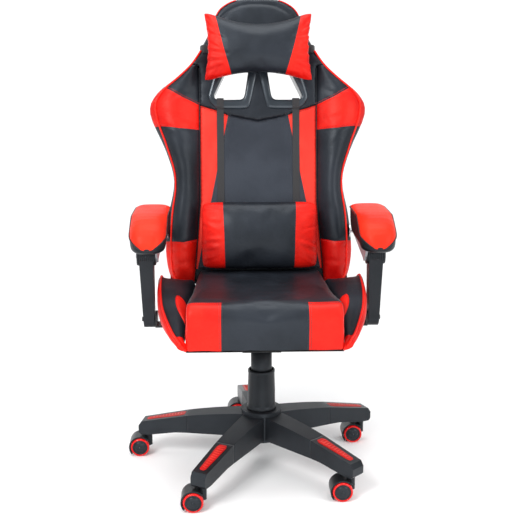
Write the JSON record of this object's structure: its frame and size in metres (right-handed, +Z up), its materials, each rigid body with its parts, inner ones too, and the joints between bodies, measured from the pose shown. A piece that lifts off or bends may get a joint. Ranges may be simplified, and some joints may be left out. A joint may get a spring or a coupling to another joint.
{
  "type": "gaming chair",
  "caption": "Swivel gaming chair with a winged seat, a reclining bolstered back, linked armrests, two pillows and a five-arm base on twin-wheel casters.",
  "frame": {"origin": "on the floor under the column axis", "axes": "+Z up the column, -Y towards the front of the seat, +X to the right of someone facing the chair"},
  "size_m": [0.6783, 0.6766, 1.2071],
  "materials": {
    "nylon_black": "moulded nylon, fine texture",
    "insert_red": "moulded, raised pattern",
    "steel_black": "black powder coat",
    "bushing_plastic": "natural acetal",
    "bright_steel": "zinc plated",
    "dark_chrome": "dark plated",
    "spring_steel": "bright",
    "elastic_webbing": "woven elastic",
    "webbing_black": "woven polyester",
    "coated_fabric_black": "polyurethane coated, fine grain, satin",
    "coated_fabric_charcoal": "polyurethane coated, fine woven emboss",
    "coated_fabric_red": "polyurethane coated, fine grain, satin",
    "moulded_pad_red": "polyurethane coated pad",
    "lining_black": "non-woven",
    "trim_gloss": "glossy dark grey",
    "wheel_black": "moulded nylon",
    "tread_red": "cast polyurethane, glossy"
  },
  "bodies": {
    "base": {"base_star": "nylon_black", "base_inserts": "insert_red", "gas_tube": "steel_black", "column_bushing": "bushing_plastic", "cover_lower": "nylon_black", "thrust_bearing": "bright_steel"},
    "gas_rod": {"gas_rod": "bright_steel"},
    "column": {"gas_cylinder": "dark_chrome", "cover_upper": "nylon_black", "mech_housing": "steel_black", "tilt_axle": "bright_steel", "tension_spring": "spring_steel"},
    "tension_knob": {"tension_knob": "nylon_black"},
    "lift_lever": {"lift_lever": "nylon_black"},
    "seat": {"seat_plate": "steel_black", "seat_frame": "steel_black", "seat_webbing": "elastic_webbing", "seat_cushion": "coated_fabric_black", "wing_left": "coated_fabric_red", "wing_right": "coated_fabric_red", "seat_bottom_cover": "lining_black", "seat_bolts": "spring_steel", "hinge_plates": "steel_black", "hinge_pins": "bright_steel", "hinge_covers": "nylon_black", "arm_mounts": "steel_black"},
    "recline_lever": {"recline_lever": "nylon_black"},
    "back": {"back_frame": "steel_black", "back_panel": "coated_fabric_charcoal", "bolster_left": "coated_fabric_red", "bolster_right": "coated_fabric_red", "headrest_pad": "coated_fabric_black", "back_cover": "coated_fabric_black", "bezels": "trim_gloss", "lumbar_straps": "webbing_black", "arm_studs": "bright_steel"},
    "lumbar_pillow": {"lumbar_pillow": "coated_fabric_red"},
    "head_pillow": {"head_pillow": "coated_fabric_red", "head_strap": "webbing_black"},
    "arm_post_left": {"arm_post_left": "nylon_black"},
    "arm_post_right": {"arm_post_right": "nylon_black"},
    "arm_pad_left": {"arm_beam_left": "bright_steel", "arm_pad_left": "moulded_pad_red"},
    "arm_pad_right": {"arm_beam_right": "bright_steel", "arm_pad_right": "moulded_pad_red"},
    "caster_1": {"caster_fork_1": "nylon_black"},
    "wheels_1": {"caster_wheels_1": "wheel_black", "caster_treads_1": "tread_red"},
    "caster_2": {"caster_fork_2": "nylon_black"},
    "wheels_2": {"caster_wheels_2": "wheel_black", "caster_treads_2": "tread_red"},
    "caster_3": {"caster_fork_3": "nylon_black"},
    "wheels_3": {"caster_wheels_3": "wheel_black", "caster_treads_3": "tread_red"},
    "caster_4": {"caster_fork_4": "nylon_black"},
    "wheels_4": {"caster_wheels_4": "wheel_black", "caster_treads_4": "tread_red"},
    "caster_5": {"caster_fork_5": "nylon_black"},
    "wheels_5": {"caster_wheels_5": "wheel_black", "caster_treads_5": "tread_red"}
  },
  "joints": [
    {"name": "swivel", "type": "hinge", "parent": "base", "child": "gas_rod", "pos_m": [0, 0, 0.07], "axis": [0, 0, 1], "continuous": true},
    {"name": "lift", "type": "slide", "parent": "gas_rod", "child": "column", "axis": [0, 0, 1], "range_m": [-0.05, 0.04]},
    {"name": "tilt", "type": "hinge", "parent": "column", "child": "seat", "pos_m": [0, -0.03, 0.364], "axis": [-1, 0, 0], "range_deg": [0, 12], "stiffness_Nm_per_rad": 150, "springref_deg": -20.05},
    {"name": "lift_lever_pull", "type": "hinge", "parent": "column", "child": "lift_lever", "pos_m": [-0.048, 0, 0.353], "axis": [0, 1, 0], "range_deg": [0, 6], "stiffness_Nm_per_rad": 2, "springref_deg": -14.32},
    {"name": "tension_knob_turn", "type": "hinge", "parent": "column", "child": "tension_knob", "pos_m": [0, -0.112, 0.361], "axis": [0, -1, 0], "continuous": true},
    {"name": "recline", "type": "hinge", "parent": "seat", "child": "back", "pos_m": [0, 0.185, 0.423], "axis": [-1, 0, 0], "range_deg": [0, 50]},
    {"name": "recline_lever_pull", "type": "hinge", "parent": "seat", "child": "recline_lever", "pos_m": [0, 0.185, 0.423], "axis": [-1, 0, 0], "range_deg": [0, 15], "stiffness_Nm_per_rad": 2, "springref_deg": -14.32},
    {"name": "lumbar_pillow_slide", "type": "slide", "parent": "back", "child": "lumbar_pillow", "axis": [0, 0.2079, 0.9781], "range_m": [0, 0.12]},
    {"name": "head_pillow_slide", "type": "slide", "parent": "back", "child": "head_pillow", "axis": [0, 0.2079, 0.9781], "range_m": [0, 0.04]},
    {"name": "arm_post_left_swing", "type": "hinge", "parent": "seat", "child": "arm_post_left", "pos_m": [0, -0.01, 0.398], "axis": [-1, 0, 0], "range_deg": [0, 50]},
    {"name": "arm_pad_left_level", "type": "hinge", "parent": "arm_post_left", "child": "arm_pad_left", "pos_m": [0, 0.008, 0.56], "axis": [-1, 0, 0], "range_deg": [-50, 0]},
    {"name": "arm_post_right_swing", "type": "hinge", "parent": "seat", "child": "arm_post_right", "pos_m": [0, -0.01, 0.398], "axis": [-1, 0, 0], "range_deg": [0, 50]},
    {"name": "arm_pad_right_level", "type": "hinge", "parent": "arm_post_right", "child": "arm_pad_right", "pos_m": [0, 0.008, 0.56], "axis": [-1, 0, 0], "range_deg": [-50, 0]},
    {"name": "caster_1_swivel", "type": "hinge", "parent": "base", "child": "caster_1", "pos_m": [-0.15029, -0.27113, 0.07], "axis": [0, 0, 1], "continuous": true},
    {"name": "wheels_1_roll", "type": "hinge", "parent": "caster_1", "child": "wheels_1", "pos_m": [-0.17229, -0.27113, 0.025], "axis": [0, 1, 0], "continuous": true},
    {"name": "caster_2_swivel", "type": "hinge", "parent": "base", "child": "caster_2", "pos_m": [0.21142, -0.22672, 0.07], "axis": [0, 0, 1], "continuous": true},
    {"name": "wheels_2_roll", "type": "hinge", "parent": "caster_2", "child": "wheels_2", "pos_m": [0.18942, -0.22672, 0.025], "axis": [0, 1, 0], "continuous": true},
    {"name": "caster_3_swivel", "type": "hinge", "parent": "base", "child": "caster_3", "pos_m": [0.28096, 0.13101, 0.07], "axis": [0, 0, 1], "continuous": true},
    {"name": "wheels_3_roll", "type": "hinge", "parent": "caster_3", "child": "wheels_3", "pos_m": [0.25896, 0.13101, 0.025], "axis": [0, 1, 0], "continuous": true},
    {"name": "caster_4_swivel", "type": "hinge", "parent": "base", "child": "caster_4", "pos_m": [-0.03778, 0.30769, 0.07], "axis": [0, 0, 1], "continuous": true},
    {"name": "wheels_4_roll", "type": "hinge", "parent": "caster_4", "child": "wheels_4", "pos_m": [-0.05978, 0.30769, 0.025], "axis": [0, 1, 0], "continuous": true},
    {"name": "caster_5_swivel", "type": "hinge", "parent": "base", "child": "caster_5", "pos_m": [-0.3043, 0.05915, 0.07], "axis": [0, 0, 1], "continuous": true},
    {"name": "wheels_5_roll", "type": "hinge", "parent": "caster_5", "child": "wheels_5", "pos_m": [-0.3263, 0.05915, 0.025], "axis": [0, 1, 0], "continuous": true}
  ],
  "couplings": [
    {"joint": "arm_post_left_swing", "follows": "recline", "ratio": 1},
    {"joint": "arm_pad_left_level", "follows": "recline", "ratio": -1},
    {"joint": "arm_post_right_swing", "follows": "recline", "ratio": 1},
    {"joint": "arm_pad_right_level", "follows": "recline", "ratio": -1}
  ]
}
